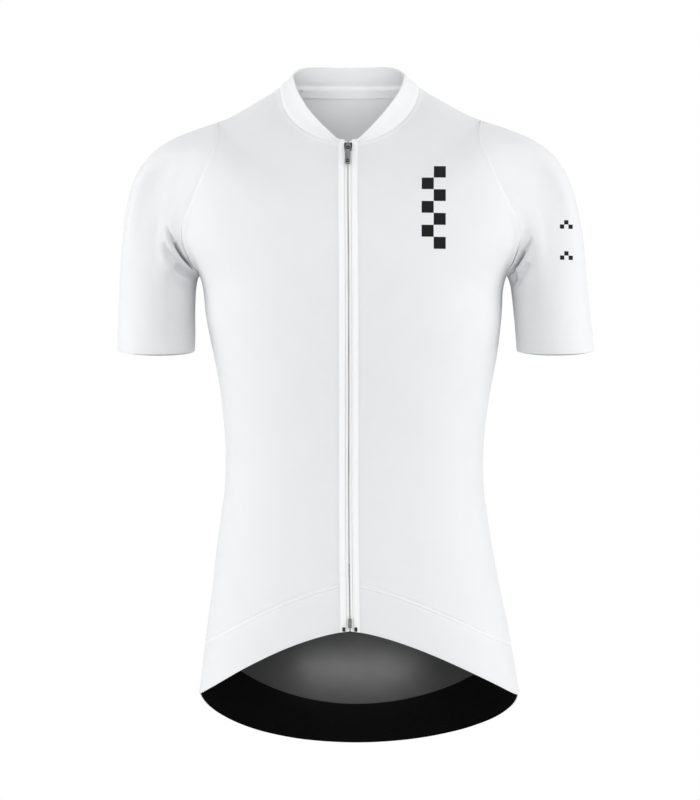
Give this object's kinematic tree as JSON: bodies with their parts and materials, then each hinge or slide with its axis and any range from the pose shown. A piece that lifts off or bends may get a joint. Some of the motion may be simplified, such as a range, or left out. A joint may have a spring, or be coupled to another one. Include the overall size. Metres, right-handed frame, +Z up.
{
  "type": "cycling jersey",
  "caption": "Short-sleeved cycling jersey, hollow as if worn, with a low collar, full-length front zip, dropped back hem and rear pockets.",
  "frame": {"origin": "middle of the neck, level with the collar seam at the tops of the shoulders, where the wearer's shoulders carry the jersey", "axes": "+X to the wearer's left, +Y to the wearer's back, +Z up"},
  "size_m": [0.5124, 0.2372, 0.739],
  "materials": {
    "jersey_cloth": "fine white polyester knit, matt with a faint sheen",
    "neck_tape": "narrow white herringbone tape",
    "lining_cloth": "charcoal knit",
    "gripper_band": "black ribbed elastic",
    "zip_tape": "woven white tape",
    "zip_coil": "pale nylon coil",
    "zip_metal": "gunmetal, satin",
    "zip_box": "grey moulded plastic",
    "zip_end": "black heat-sealed tape end"
  },
  "bodies": {
    "jersey": {"front_left": "jersey_cloth", "front_right": "jersey_cloth", "hem_front_left": "jersey_cloth", "hem_front_right": "jersey_cloth", "back": "jersey_cloth", "pockets": "jersey_cloth", "sleeve_left": "jersey_cloth", "sleeve_right": "jersey_cloth", "collar": "jersey_cloth", "neck_tape": "neck_tape", "back_lining": "lining_cloth", "hem_back": "gripper_band", "zip_facing_left": "jersey_cloth", "zip_facing_right": "jersey_cloth", "zip_tape_left": "zip_tape", "zip_tape_right": "zip_tape", "zip_coil": "zip_coil", "zip_slider": "zip_metal", "zip_box": "zip_box", "zip_end_left": "zip_end", "zip_end_right": "zip_end"},
    "pull_tab": {"zip_pull_tab": "zip_metal"}
  },
  "joints": [
    {"name": "pull_tab_hinge", "type": "hinge", "parent": "jersey", "child": "pull_tab", "pos_m": [0.00045, -0.07149, -0.05608], "axis": [-1, 0, 0], "range_deg": [0, 150]}
  ]
}
